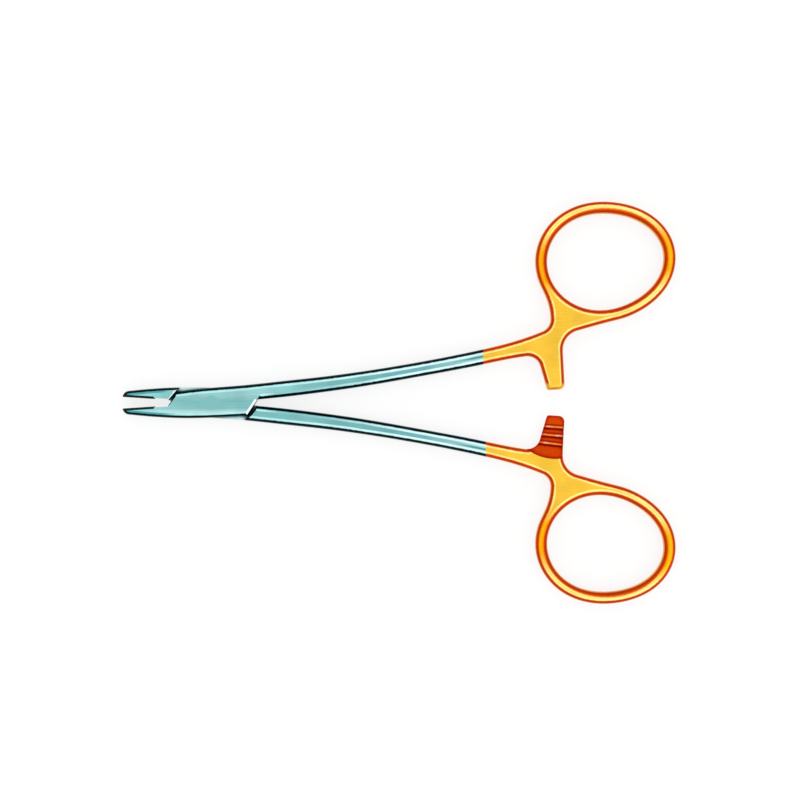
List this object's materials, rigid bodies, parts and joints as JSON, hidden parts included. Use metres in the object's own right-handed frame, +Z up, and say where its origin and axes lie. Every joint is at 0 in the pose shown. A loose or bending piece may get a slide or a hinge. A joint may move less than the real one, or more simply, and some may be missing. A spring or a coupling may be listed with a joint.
{
  "type": "surgical needle holder",
  "caption": "Small box-lock needle holder with narrow jaws, hard inserts in the jaw faces, slim shanks, a sawtooth ratchet and gold-plated finger rings, lying slightly open.",
  "frame": {"origin": "on the pivot axis, on the underside of the box that the instrument rests on", "axes": "+Z up along the pivot axis, +X from the pivot towards the finger rings, +Y towards the ring of the box half; the jaws point to -X"},
  "size_m": [0.1248, 0.0908, 0.0046],
  "materials": {
    "forged_steel_box_half": "satin steel, gold plated from the end of the shank over the ring and the ratchet arm",
    "forged_steel_tongue_half": "satin steel, gold plated from the end of the shank over the ring and the ratchet arm",
    "pin_steel": "ground flush, satin",
    "jaw_insert": "hard metal with a crossed gripping pattern"
  },
  "bodies": {
    "box_side": {"box_half": "forged_steel_box_half", "pivot_pin": "pin_steel", "box_jaw_insert": "jaw_insert"},
    "tongue_side": {"tongue_half": "forged_steel_tongue_half", "tongue_jaw_insert": "jaw_insert"}
  },
  "joints": [
    {"name": "box_lock_pivot", "type": "hinge", "parent": "box_side", "child": "tongue_side", "pos_m": [0, 0, 0], "axis": [0, 0, -1], "range_deg": [-7.2, 50]}
  ]
}
